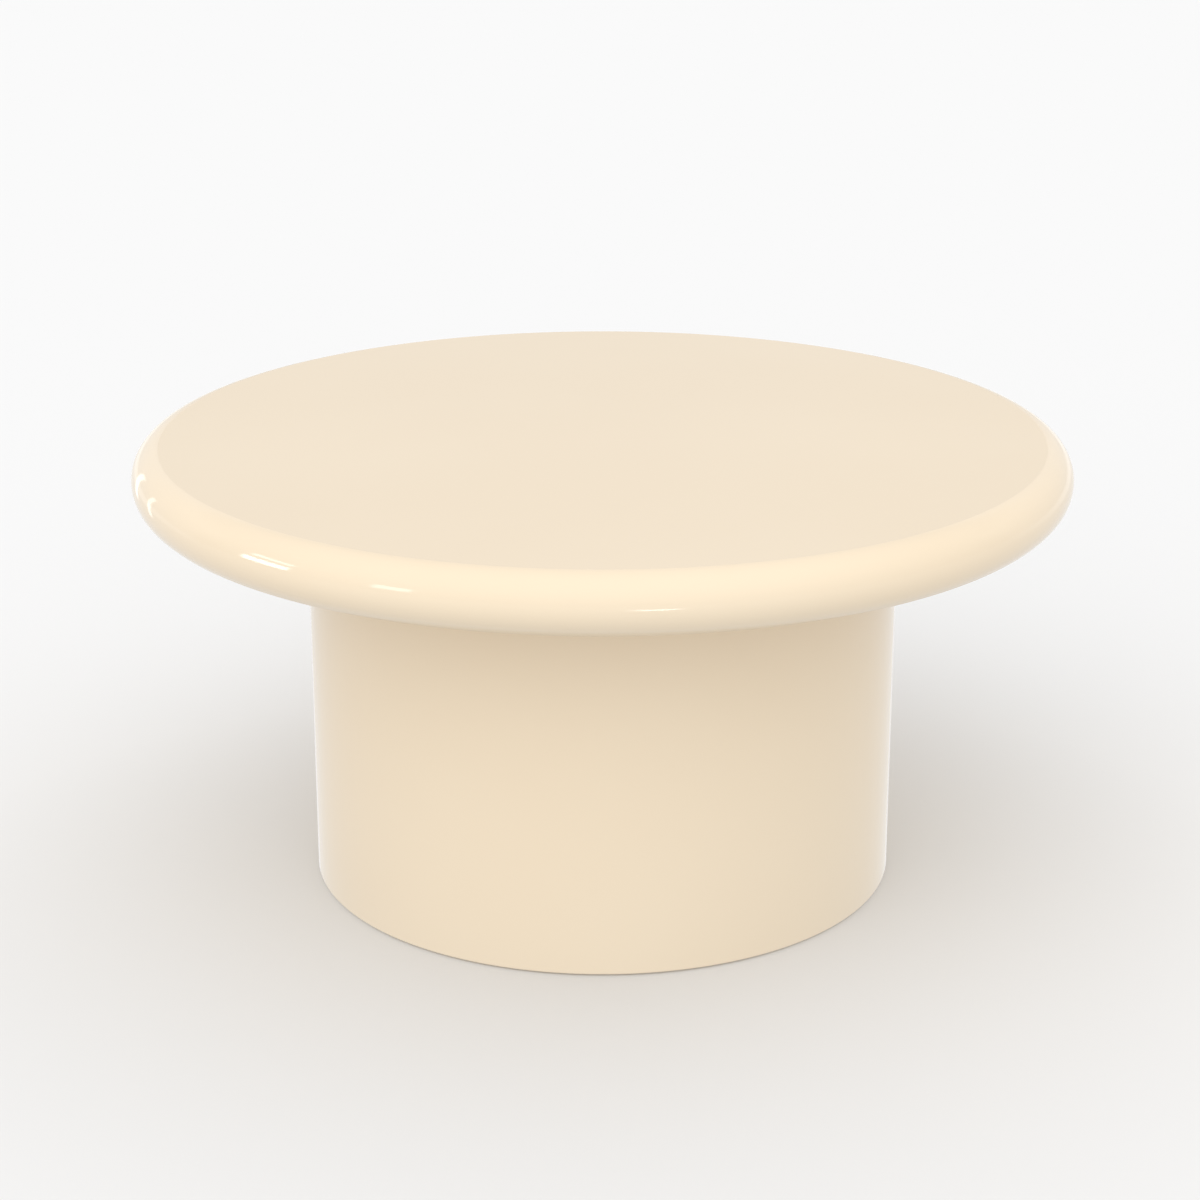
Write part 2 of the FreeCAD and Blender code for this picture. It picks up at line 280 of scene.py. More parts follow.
class FootSettings(bpy.types.PropertyGroup):
    """Levelling feet."""

    nylon: FloatVectorProperty(
        name="Nylon", description="Moulded pads", subtype="COLOR", default=(0.07, 0.07, 0.072)
    )
    flutes: IntProperty(name="Flutes", description="Grip flutes round a pad", default=30)
    flute_depth: FloatProperty(
        name="Flute depth", description="Depth of a flute", default=0.5 * MM, unit="LENGTH", precision=5
    )
    foot_round: FloatProperty(
        name="Foot round", description="Easing of a pad's lower edge",
        default=1.2 * MM, unit="LENGTH", precision=5,
    )
    rim_height: FloatProperty(
        name="Rim height", description="Height of a pad's upright rim",
        default=4.0 * MM, unit="LENGTH", precision=5,
    )
    shoulder: FloatProperty(
        name="Shoulder", description="Diameter of a pad's flat top",
        default=22.0 * MM, unit="LENGTH", precision=5,
    )
    neck: FloatProperty(
        name="Neck", description="Diameter of the hole for the stem",
        default=8.16 * MM, unit="LENGTH", precision=5,
    )
    socket: FloatProperty(
        name="Socket", description="Diameter of the hollow for the stem's button",
        default=12.16 * MM, unit="LENGTH", precision=5,
    )
    socket_floor: FloatProperty(
        name="Socket floor", description="Pad under the button",
        default=2.0 * MM, unit="LENGTH", precision=5,
    )
    socket_height: FloatProperty(
        name="Socket height", description="Height of the hollow",
        default=2.9 * MM, unit="LENGTH", precision=5,
    )
    button: FloatProperty(
        name="Button", description="Diameter of the stem's button",
        default=12.0 * MM, unit="LENGTH", precision=5,
    )
    button_height: FloatProperty(
        name="Button height", description="Height of the button",
        default=2.5 * MM, unit="LENGTH", precision=5,
    )
    collar: FloatProperty(
        name="Collar", description="Hex collar across its flats",
        default=14.0 * MM, unit="LENGTH", precision=5,
    )
    collar_gap: FloatProperty(
        name="Collar gap", description="Running gap between pad and collar",
        default=0.2 * MM, unit="LENGTH", precision=5,
    )
    collar_height: FloatProperty(
        name="Collar height", description="Height of the collar",
        default=3.0 * MM, unit="LENGTH", precision=5,
    )
    steps: IntProperty(name="Steps", description="Faces round a pad", default=120)


class StageSettings(bpy.types.PropertyGroup):
    """Camera, floor and light."""

    camera_place: FloatVectorProperty(
        name="Camera", description="Where the camera stands",
        subtype="TRANSLATION", unit="LENGTH", default=(-0.0025, -2.679, 1.178),
    )
    camera_tilt: FloatProperty(
        name="Tilt", description="How far the camera looks down",
        default=math.radians(18.68), subtype="ANGLE",
    )
    lens: FloatProperty(name="Lens", description="Focal length", default=85.05, unit="CAMERA")
    sensor: FloatProperty(name="Sensor", description="Width of the frame", default=36.0, unit="CAMERA")
    sight: FloatProperty(name="Sight", description="How far the camera sees", default=200.0, unit="LENGTH")
    floor_size: FloatProperty(name="Floor", description="Side of the floor", default=60.0, unit="LENGTH")
    floor_colour: FloatVectorProperty(
        name="Floor colour", description="Colour of the open floor",
        subtype="COLOR", default=(0.839, 0.839, 0.839),
    )
    # Painted shadow: the floor's colour darkens towards this tone round a place in front of the table's foot
    painted_shadow_colour: FloatVectorProperty(
        name="Near floor colour", description="Colour of the floor at the table's foot",
        subtype="COLOR", default=(0.727, 0.727, 0.727),
    )
    painted_shadow_place: FloatVectorProperty(
        name="Near place", description="Where the near colour is",
        subtype="TRANSLATION", unit="LENGTH", default=(0.0, -0.3, 0.0),
    )
    painted_shadow_reach: FloatProperty(
        name="Near reach", description="How far the near colour spreads", default=0.8, unit="LENGTH"
    )
    backdrop: FloatVectorProperty(
        name="Backdrop", description="The pale tone behind the floor",
        subtype="COLOR", default=(0.956, 0.956, 0.956),
    )
    # Painted bounce light: the floor glows with this tone to every ray but the camera's and the gloss's
    floor_bounce: FloatVectorProperty(
        name="Floor bounce", description="Light that the open floor throws back",
        subtype="COLOR", default=(0.73, 0.73, 0.73),
    )
    # Painted shade: the floor's glow is dimmer beside the drum, where the table shades the floor
    near_bounce: FloatVectorProperty(
        name="Near bounce", description="Light that the floor throws back beside the drum",
        subtype="COLOR", default=(0.58, 0.58, 0.58),
    )
    bounce_reach: FloatProperty(
        name="Bounce reach", description="How far from the axis the table dims the floor",
        default=0.7, unit="LENGTH",
    )
    sky: FloatProperty(name="Sky", description="Strength of the all-round light", default=0.907)
    shine: FloatProperty(name="Shine", description="Tone of the room in the gloss", default=0.872)


class Pane(NamedTuple):
    """A window of light: where on the rim it shows, where it lies from there, how large and soft it looks."""

    name: str
    rim_azimuth: float
    distance: float
    azimuth: float
    elevation: float
    width: float
    height: float
    glow: float
    softness: float


class Glow(NamedTuple):
    """A soft patch of the sky: where its middle lies, how much light it adds and how closely it gathers."""

    azimuth: float
    elevation: float
    strength: float
    gather: float


# Angles in degrees; azimuth 0 is the camera's side and negative is to its left
GLOWS = (
    Glow(0.0, 20.0, 0.471, 3.0),
    Glow(0.0, 55.0, 0.601, 4.0),
    Glow(-35.0, 35.0, 1.028, 4.0),
    Glow(100.0, 20.0, 0.53, 4.0),
)
PANES = (
    Pane("side_window", -39.6, 3.0, -84.6, 8.0, 17.0, 10.0, 8.0, 0.2),
    Pane("side_transom", -39.6, 3.0, -85.0, 20.0, 15.0, 5.0, 4.5, 0.2),
    Pane("front_window", -22.9, 3.0, -49.6, 13.5, 11.0, 11.0, 4.2, 0.2),
    Pane("far_strip", -65.3, 1.2, -135.2, -1.0, 3.0, 27.0, 1.4, 0.3),
    Pane("rear_strip", -73.6, 1.2, -148.0, -1.0, 4.0, 25.0, 1.2, 0.3),
    Pane("low_strip", 5.5, 1.0, 12.2, -12.0, 19.0, 6.0, 8.0, 0.8),
    Pane("left_screen", -80.0, 3.0, -138.0, 12.0, 74.0, 56.0, 0.228, 0.4),
    Pane("right_screen", 80.0, 3.0, 138.0, 12.0, 74.0, 56.0, 0.209, 0.4),
)


def heading(azimuth, elevation):
    """A unit vector from the table by angles in degrees, with azimuth 0 towards the camera."""
    around, up = math.radians(azimuth), math.radians(elevation)
    flat = math.cos(up)
    return Vector((math.sin(around) * flat, -math.cos(around) * flat, math.sin(up)))


def span(distance, angle):
    """How wide a thing is that looks as wide as an angle in degrees from a distance."""
    return 2 * distance * math.tan(math.radians(angle) / 2)


# Mesh helpers

def new_object(name, bm):
    """A linked object of the finished mesh, smooth but for its sharp edges."""
    bmesh.ops.recalc_face_normals(bm, faces=bm.faces)
    for face in bm.faces:
        face.smooth = True
    for edge in bm.edges:
        edge.smooth = len(edge.link_faces) == 2 and edge.calc_face_angle() < SHARP_ANGLE
    mesh = bpy.data.meshes.new(name)
    bm.to_mesh(mesh)
    bm.free()
    made = bpy.data.objects.new(name, mesh)
    bpy.context.scene.collection.objects.link(made)
    return made


def skin(bm, rows, looped=False, capped=False):
    """Faces from each row of points to the next, where a row of one point is a pole."""
    rows = [[bm.verts.new(point) for point in row] for row in rows]
    for low, high in zip(rows, rows[1:] + (rows[:1] if looped else [])):
        count = max(len(low), len(high))
        if count == 1:
            continue
        for i in range(count):
            j = (i + 1) % count
            corners = [low[i % len(low)], low[j % len(low)], high[j % len(high)], high[i % len(high)]]
            bm.faces.new(list(dict.fromkeys(corners)))
    if capped:
        bm.faces.new(rows[0])
        bm.faces.new(rows[-1])


def ring(radius, z, steps, axis=(0.0, 0.0), turn=0.0):
    """Points round an upright axis. Radius and height are numbers, or functions of the angle."""
    points = []
    for i in range(steps):
        angle = FULL_TURN * i / steps
        out = radius(angle) if callable(radius) else radius
        height = z(angle) if callable(z) else z
        x, y = out * math.cos(angle + turn), out * math.sin(angle + turn)
        points.append((axis[0] + x, axis[1] + y, height))
    return points


def rings(outline, *spot):
    """A ring of points for each radius and height of an outline."""
    return [ring(radius, z, *spot) for radius, z in outline]


def lathe(bm, outline, steps, axis=(0.0, 0.0)):
    """Turns a closed outline of (radius, height) points about an upright axis."""
    rows = [[(*axis, z)] if radius < TINY else ring(radius, z, steps, axis) for radius, z in outline]
    skin(bm, rows, looped=True)


def hexagon(across_flats):
    """Radius of a hexagon by angle, with a corner at angle 0."""
    return lambda angle: across_flats / 2 / math.cos(angle % HEX_SIDE - HEX_SIDE / 2)


def chamfered(across_flats, end_z, slope):
    """Height of a hexagon's chamfered edge by angle; slope is negative where the end faces up."""
    flat = hexagon(across_flats)
    return lambda angle: end_z + slope * (flat(angle) - CHAMFER_SHARE * across_flats / 2)


def thread(radius, depth, pitch, start_z, end_z, steps, axis, turn=0.0):
    """Rows along a right-hand screw thread that fades in and out at its ends."""
    count = round(abs(end_z - start_z) / pitch * THREAD_STEPS)
    rows = []
    for i in range(count + 1):
        z = start_z + (end_z - start_z) * i / count
        fade = min(1.0, min(i, count - i) / THREAD_STEPS)
        groove = lambda angle: abs(2 * ((z / pitch - angle / FULL_TURN) % 1.0) - 1)
        rows.append(ring(lambda angle: radius - depth * fade * groove(angle), z, steps, axis, turn))
    return rows


def circle_place(node, angle):
    """Where a ring of like fixings in one CAD node has its axis at an angle."""
    radius = (reach(node) + bore(node)) / 2
    return radius * math.cos(angle), radius * math.sin(angle)


def arc(centre_radius, centre_z, radius, start, end, steps):
    """Points of an arc in the lathe's (radius, height) plane."""
    turns = [start + (end - start) * i / steps for i in range(steps + 1)]
    return [(centre_radius + radius * math.cos(a), centre_z + radius * math.sin(a)) for a in turns]


def slot_nodes(slot):
    """The CAD nodes that the record gives to a slot."""
    return [part["node"] for part in frame["record"]["subparts"] if part["material_slot"] == slot]


def dress(node, material):
    """Gives a CAD node one finish all over."""
    slots = NODES[node].data.materials
    slots.clear()
    slots.append(material)


def finish_piece(piece, material, body):
    """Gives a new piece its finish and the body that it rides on."""
    piece.data.materials.append(material)
    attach(piece, body)
    return piece


# Finishes

def maths(tree, operation, value, *others):
    """A maths node on a value and on numbers or other values."""
    node = tree.nodes.new("ShaderNodeMath")
    node.operation = operation
    tree.links.new(value, node.inputs[0])
    for socket, other in zip(node.inputs[1:], others):
        if isinstance(other, float):
            socket.default_value = other
        else:
            tree.links.new(other, socket)
    return node.outputs["Value"]


def mapped(tree, value, **ends):
    """A value carried from one range to another, whose ends have the names of the node's sockets."""
    node = tree.nodes.new("ShaderNodeMapRange")
    for name, end in ends.items():
        node.inputs[name.replace("_", " ")].default_value = end
    tree.links.new(value, node.inputs["Value"])
    return node.outputs["Result"]


class Finish:
    """A node material being built, with its shader and object coordinates at hand."""

    def __init__(self, name):
        self.material = bpy.data.materials.new(name)
        self.material.use_nodes = True
        self.tree = self.material.node_tree
        self.nodes, self.links = self.tree.nodes, self.tree.links
        self.shader = self.nodes["Principled BSDF"]
        self.place = self.nodes.new("ShaderNodeTexCoord").outputs["Object"]

    def set(self, **values):
        """Sets the shader's sockets by name."""
        for name, value in values.items():
            self.shader.inputs[name.replace("_", " ")].default_value = value

    def stretched(self, scale, turn=0.0):
        """Object coordinates turned about Z and stretched."""
        mapping = self.nodes.new("ShaderNodeMapping")
        mapping.vector_type = "TEXTURE"
        mapping.inputs["Rotation"].default_value[2] = turn
        mapping.inputs["Scale"].default_value = scale
        self.links.new(self.place, mapping.inputs["Vector"])
        return mapping.outputs["Vector"]

    def noise(self, scale, detail=2.0, roughness=0.5, vector=None):
        """Soft noise from 0 to 1 over the object."""
        texture = self.nodes.new("ShaderNodeTexNoise")
        texture.inputs["Scale"].default_value = scale
        texture.inputs["Detail"].default_value = detail
        texture.inputs["Roughness"].default_value = roughness
        self.links.new(vector or self.place, texture.inputs["Vector"])
        return texture.outputs["Fac"]

    def ramp(self, value, stops):
        """Colours along a value: stops are (position, colour)."""
        ramp = self.nodes.new("ShaderNodeValToRGB")
        elements = ramp.color_ramp.elements
        while len(elements) < len(stops):
            elements.new(1.0)
        for element, (position, colour) in zip(elements, stops):
            element.position = position
            element.color = (*colour, 1.0)
        self.links.new(value, ramp.inputs["Fac"])
        return ramp.outputs["Color"]

    def range(self, value, low, high):
        """Spreads a 0 to 1 value between two numbers."""
        return mapped(self.tree, value, To_Min=low, To_Max=high)

    def bump(self, height, distance, socket="Normal"):
        """Shallow relief from a height of 0 to 1."""
        node = self.nodes.new("ShaderNodeBump")
        node.inputs["Distance"].default_value = distance
        self.links.new(height, node.inputs["Height"])
        self.links.new(node.outputs["Normal"], self.shader.inputs[socket])

    def rise(self, value, start, end):
        """From 0 to 1 while a value goes from start to end."""
        return mapped(self.tree, value, From_Min=start, From_Max=end)

    def feed(self, output, socket):
        """Links a value or a colour to the shader."""
        self.links.new(output, self.shader.inputs[socket])

    def part(self, axis, vector=None):
        """One of a vector's three numbers."""
        split = self.nodes.new("ShaderNodeSeparateXYZ")
        self.links.new(vector or self.place, split.inputs["Vector"])
        return split.outputs[axis]

    def tinted(self, colour, shade):
        """One colour darkened by another."""
        mix = self.nodes.new("ShaderNodeMix")
        mix.data_type, mix.blend_type = "RGBA", "MULTIPLY"
        mix.inputs["Factor"].default_value = 1.0
        self.links.new(colour, mix.inputs["A"])
        self.links.new(shade, mix.inputs["B"])
        return mix.outputs["Result"]


def gloss_lacquer(settings, name="gloss_lacquer", dull_z=None):
    """Cream pigment under a clear coat with orange peel. Given a height, the coat fades out down to it."""
    finish = Finish(name)
    finish.set(Coat_Weight=1.0, Coat_Roughness=settings.gloss, Coat_IOR=1.5, IOR=1.45)
    finish.set(Specular_IOR_Level=0.0)
    cloud = finish.noise(scale=3.0, detail=3.0)
    finish.feed(finish.ramp(cloud, [(0.35, settings.colour_shift), (0.65, settings.colour)]), "Base Color")
    finish.feed(finish.range(finish.noise(scale=40.0), low=0.45, high=0.6), "Roughness")
    finish.bump(finish.noise(scale=260.0, detail=1.0), PEEL_DEPTH, "Coat Normal")
    if dull_z is not None:
        polish = finish.rise(finish.part("Z"), dull_z, dull_z + settings.polish_height)
        finish.feed(polish, "Coat Weight")
    return finish.material


def plywood(name, settings, depth, thickness, plies, grain, turn=0.0):
    """Birch plywood: veneers by depth from the board's middle, and grain along the faces."""
    finish = Finish(name)
    pair = 2 * PLY_SLACK * thickness / plies
    pairs = maths(finish.tree, "MULTIPLY_ADD", depth(finish), 1 / pair, PLY_MIDDLE_SHARE)
    share = maths(finish.tree, "FRACT", pairs)
    pale, dark, glue = settings.pale, settings.dark, settings.glue
    veneers = finish.ramp(share, [
        (0.0, glue), (GLUE_SHARE, pale), (0.5 - GLUE_SHARE, pale), (0.5, glue),
        (0.5 + GLUE_SHARE, dark), (1.0 - GLUE_SHARE, dark), (1.0, glue),
    ])
    figure = finish.noise(scale=1.0, detail=5.0, roughness=0.6, vector=finish.stretched(grain, turn))
    streaks = finish.ramp(figure, GRAIN_TINTS)
    finish.feed(finish.tinted(veneers, streaks), "Base Color")
    finish.feed(finish.range(figure, low=0.72, high=0.5), "Roughness")
    finish.bump(figure, GRAIN_DEPTH)
    return finish.material


def speckled(name, colour, depth, scale, roughness, relief, **values):
    """A finish of one colour with fine lighter and darker specks, uneven gloss and a little relief."""
    finish = Finish(name)
    finish.set(**values)
    low = [channel * (1 - depth) for channel in colour]
    high = [min(1.0, channel * (1 + depth)) for channel in colour]
    specks = finish.noise(scale, detail=4.0, roughness=0.65)
    finish.feed(finish.ramp(specks, [(0.3, low), (0.7, high)]), "Base Color")
    finish.feed(finish.range(finish.noise(scale / 3), *roughness), "Roughness")
    finish.bump(finish.noise(4 * scale), relief)
    return finish.material


def zinc_plate(settings):
    """Bright zinc, made once for fixings and stems."""
    made = bpy.data.materials.get("zinc_plate")
    return made or speckled(
        "zinc_plate", settings.zinc, depth=0.08, scale=150.0, roughness=(0.26, 0.42), relief=0.01 * MM,
        Metallic=1.0,
    )


# Operators

class TABLE_OT_lacquer(bpy.types.Operator):
    """Sprays the lacquer: one film over the face, one over the round edge and one over the drum"""

    bl_idname = "table.lacquer"
    bl_label = "Lacquer"

    def execute(self, context):
        settings = context.scene.table_lacquer
        gloss = gloss_lacquer(settings)
        edge_gloss = gloss_lacquer(settings, "edge_lacquer", UNDERSIDE_Z)
        face, edge = self.top(settings)
        films = (
            ("lacquer_face", face, gloss),
            (EDGE_FILM, edge, edge_gloss),
            ("lacquer_drum", self.drum(settings), gloss),
        )
        for name, outline, coat in films:
            bm = bmesh.new()
            lathe(bm, outline, settings.steps)
            finish_piece(new_object(name, bm), coat, "table")
        for node in slot_nodes("lacquered_board"):
            dress(node, gloss)
        return {"FINISHED"}

    def top(self, settings):
        """Outlines of the face out to its crease, and of the round edge from there to the drum."""
        film, back, swell = settings.film, settings.film * FILM_BACK_SHARE, settings.swell
        centre, round_radius = NOSE_CENTRE_RADIUS - swell, NOSE_RADIUS + film + swell
        turn = math.asin((NOSE_RADIUS + film) / round_radius)
        nose = arc(centre, NOSE_CENTRE_Z, round_radius, turn, -turn, settings.nose_steps)
        crease, back_radius = nose[0][0], NOSE_RADIUS + back
        turn = math.acos((crease - NOSE_CENTRE_RADIUS) / back_radius)
        inside = arc(NOSE_CENTRE_RADIUS, NOSE_CENTRE_Z, back_radius, -turn, turn, settings.nose_steps)
        face = [(crease * share, TOP_Z + film) for share in FACE_RING_SHARES]
        face += [nose[0], inside[-1], (NOSE_CENTRE_RADIUS, TOP_Z + back), (0.0, TOP_Z + back)]
        drum, outside_z, inside_z = DRUM_RADIUS + 2 * film, UNDERSIDE_Z - film, UNDERSIDE_Z - back
        edge = nose + [(crease - SUPPORT_GAP, outside_z), (drum, outside_z), (drum, inside_z)]
        edge += [(NOSE_CENTRE_RADIUS, inside_z)] + inside
        return face, edge

    def drum(self, settings):
        """Up the outside from the eased foot to just under the top, and back down inside the film."""
        sides = []
        turn = settings.foot_round
        ceiling = UNDERSIDE_Z - settings.film * DRUM_TOP_SHARE
        for film in (settings.film, settings.film * FILM_BACK_SHARE):
            foot = arc(DRUM_RADIUS - turn, DRUM_FOOT_Z + turn, turn + film, -math.pi / 2, 0, FOOT_STEPS)
            upright = [(DRUM_RADIUS + film, ceiling - SUPPORT_GAP), (DRUM_RADIUS + film, ceiling)]
            sides.append([(FACING_BORE, DRUM_FOOT_Z - film)] + foot + upright)
        outside, inside = sides
        return outside + inside[::-1]


class TABLE_OT_core(bpy.types.Operator):
    """Finishes what the boards hide: the fibreboard core, the biscuits and the dowels"""

    bl_idname = "table.core"
    bl_label = "Core"

    def execute(self, context):
        settings = context.scene.table_carcass
        fibre = speckled(
            "fibreboard", settings.fibre, depth=0.16, scale=700.0, roughness=(0.78, 0.9), relief=0.05 * MM
        )
        beech = speckled(
            "beech", settings.beech, depth=0.12, scale=350.0, roughness=(0.5, 0.65), relief=0.03 * MM
        )
        for slot, material in (("core_board", fibre), ("beech", beech)):
            for node in slot_nodes(slot):
                dress(node, material)
        return {"FINISHED"}


class TABLE_OT_carcass(bpy.types.Operator):
    """Finishes the drum's formers and stiles and wraps the liner round them"""

    bl_idname = "table.carcass"
    bl_label = "Carcass"

    def execute(self, context):
        settings = context.scene.table_carcass
        for node in ("upper_former", "middle_former", "lower_former"):
            low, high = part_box(node)
            middle = (low.z + high.z) / 2
            depth = lambda finish: maths(finish.tree, "SUBTRACT", finish.part("Z"), middle)
            ply = plywood(f"{node}_ply", settings, depth, high.z - low.z, settings.plies, FORMER_GRAIN)
            dress(node, ply)
        low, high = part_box("lower_former")
        board = high.z - low.z
        for i, node in enumerate(numbered("stile", STILE_COUNT)):
            turn = STILE_STEP * (i + 0.5)
            depth = lambda finish: finish.part("Y", finish.stretched((1.0, 1.0, 1.0), turn))
            ply = plywood(f"{node}_ply", settings, depth, board, settings.plies, UPRIGHT_GRAIN, turn)
            dress(node, ply)
        self.liner(settings)
        return {"FINISHED"}

    def liner(self, settings):
        """Bent ply from one side of the seam at the back round to the other."""
        low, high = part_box("drum_liner")
        middle = (LINER_OUTSIDE + LINER_BORE) / 2
        gap = settings.seam / LINER_OUTSIDE
        start = FULL_TURN / 4 + gap / 2
        corners = [(LINER_BORE, low.z), (LINER_OUTSIDE, low.z), (LINER_OUTSIDE, high.z), (LINER_BORE, high.z)]
        rows = []
        for i in range(settings.steps + 1):
            angle = start + (FULL_TURN - gap) * i / settings.steps
            rows.append([(radius * math.cos(angle), radius * math.sin(angle), z) for radius, z in corners])
        bm = bmesh.new()
        skin(bm, rows, capped=True)

        def depth(finish):
            x, y = finish.part("X"), finish.part("Y")
            square = maths(finish.tree, "MULTIPLY_ADD", x, x, maths(finish.tree, "MULTIPLY", y, y))
            return maths(finish.tree, "SUBTRACT", maths(finish.tree, "SQRT", square), middle)

        thickness = LINER_OUTSIDE - LINER_BORE
        ply = plywood("liner_ply", settings, depth, thickness, settings.liner_plies, UPRIGHT_GRAIN)
        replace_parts(finish_piece(new_object("bent_liner", bm), ply, "table"), "drum_liner")


class TABLE_OT_fixings(bpy.types.Operator):
    """Makes the bolts, washers, screws, tee nuts and inserts"""

    bl_idname = "table.fixings"
    bl_label = "Fixings"

    def execute(self, context):
        settings = context.scene.table_fixings
        zinc = zinc_plate(settings)
        pieces = {
            "top_bolts": self.bolts(settings),
            "bolt_washers": self.washers(settings),
            "tee_nuts": self.tee_nuts(settings),
            "lower_stile_screws": self.screws(settings, "lower_stile_screws", 1),
            "upper_stile_screws": self.screws(settings, "upper_stile_screws", -1),
        }
        for node, bm in pieces.items():
            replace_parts(finish_piece(new_object(f"{node}_set", bm), zinc, "table"), node)
        brass = speckled(
            "turned_brass", settings.brass, depth=0.06, scale=220.0, roughness=(0.22, 0.36), relief=0.01 * MM,
            Metallic=1.0,
        )
        for node in slot_nodes("brass"):
            dress(node, brass)
        return {"FINISHED"}

    def bolts(self, settings):
        """Hex bolts, heads down under the upper former."""
        low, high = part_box("top_bolts")
        face_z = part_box("bolt_washers")[0].z
        flats = (reach("top_bolts") - bore("top_bolts")) * math.cos(HEX_SIDE / 2)
        shank, groove = settings.bolt_diameter / 2, settings.bolt_groove
        bm = bmesh.new()
        for i in range(BOLT_COUNT):
            turn = FULL_TURN * i / BOLT_COUNT
            spot = settings.steps, circle_place("top_bolts", turn), turn
            rows = [[(*spot[1], low.z)]]
            rows.append(ring(CHAMFER_SHARE * flats / 2, low.z, *spot))
            rows.append(ring(hexagon(flats), chamfered(flats, low.z, CHAMFER_SLOPE), *spot))
            rows.append(ring(hexagon(flats), face_z, *spot))
            rows += thread(shank, groove, settings.bolt_pitch, face_z, high.z - 2 * groove, *spot)
            rows += [ring(shank - groove, high.z, *spot), [(*spot[1], high.z)]]
            skin(bm, rows)
        return bm

    def washers(self, settings):
        """Flat washers with eased edges."""
        low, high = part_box("bolt_washers")
        outer = (reach("bolt_washers") - bore("bolt_washers")) / 2
        inner, edge = settings.washer_bore / 2, settings.edge
        outline = [(inner, low.z + edge), (inner + edge, low.z)]
        outline += [(outer - edge, low.z), (outer, low.z + edge)]
        outline += [(outer, high.z - edge), (outer - edge, high.z), (inner, high.z)]
        bm = bmesh.new()
        for i in range(BOLT_COUNT):
            lathe(bm, outline, settings.steps, circle_place("bolt_washers", FULL_TURN * i / BOLT_COUNT))
        return bm

    def tee_nuts(self, settings):
        """Flanged nuts, flange down under the lower former."""
        low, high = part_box("tee_nuts")
        flange = (reach("tee_nuts") - bore("tee_nuts")) / 2
        barrel, inner, edge = settings.tee_barrel / 2, settings.tee_bore / 2, settings.edge
        top = low.z + settings.tee_flange
        outline = [(inner, low.z + edge), (inner + edge, low.z)]
        outline += [(flange - edge, low.z), (flange, low.z + edge), (flange, top)]
        outline += [(barrel, top), (barrel, high.z - edge), (barrel - edge, high.z), (inner, high.z)]
        bm = bmesh.new()
        for i in range(FOOT_COUNT):
            lathe(bm, outline, settings.steps, circle_place("tee_nuts", FULL_TURN * (i + 0.5) / FOOT_COUNT))
        return bm

    def screws(self, settings, node, up):
        """Countersunk wood screws with a cross recess, driven up or down into the stiles."""
        low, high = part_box(node)
        head_z, tip_z = (low.z, high.z) if up > 0 else (high.z, low.z)
        head, shank = (reach(node) - bore(node)) / 2, settings.screw_diameter / 2
        neck_z = head_z + up * settings.screw_head
        thread_z = neck_z + up * settings.screw_shank
        point_z = tip_z - up * settings.screw_point
        radii = [settings.recess_reach * (i + 1) / RECESS_STEPS for i in range(RECESS_STEPS)]
        bm = bmesh.new()
        for i in range(STILE_COUNT):
            turn = STILE_STEP * (i + 0.5)
            spot = settings.steps, circle_place(node, turn), turn
            rows = [[(*spot[1], head_z + up * settings.recess_depth)]]
            for radius in radii:
                sunk = lambda angle: head_z + up * self.recess(settings, radius, angle)
                rows.append(ring(radius, sunk, *spot))
            rows += [ring(head, head_z, *spot), ring(shank, neck_z, *spot)]
            rows += thread(shank, settings.screw_groove, settings.screw_pitch, thread_z, point_z, *spot)
            rows.append([(*spot[1], tip_z)])
            skin(bm, rows)
        return bm

    def recess(self, settings, radius, angle):
        """Depth of the cross recess at a place on the head."""
        across = radius * min(abs(math.cos(angle)), abs(math.sin(angle)))
        inside = across < settings.recess_width / 2
        return settings.recess_depth * (1 - radius / settings.recess_reach) if inside else 0.0


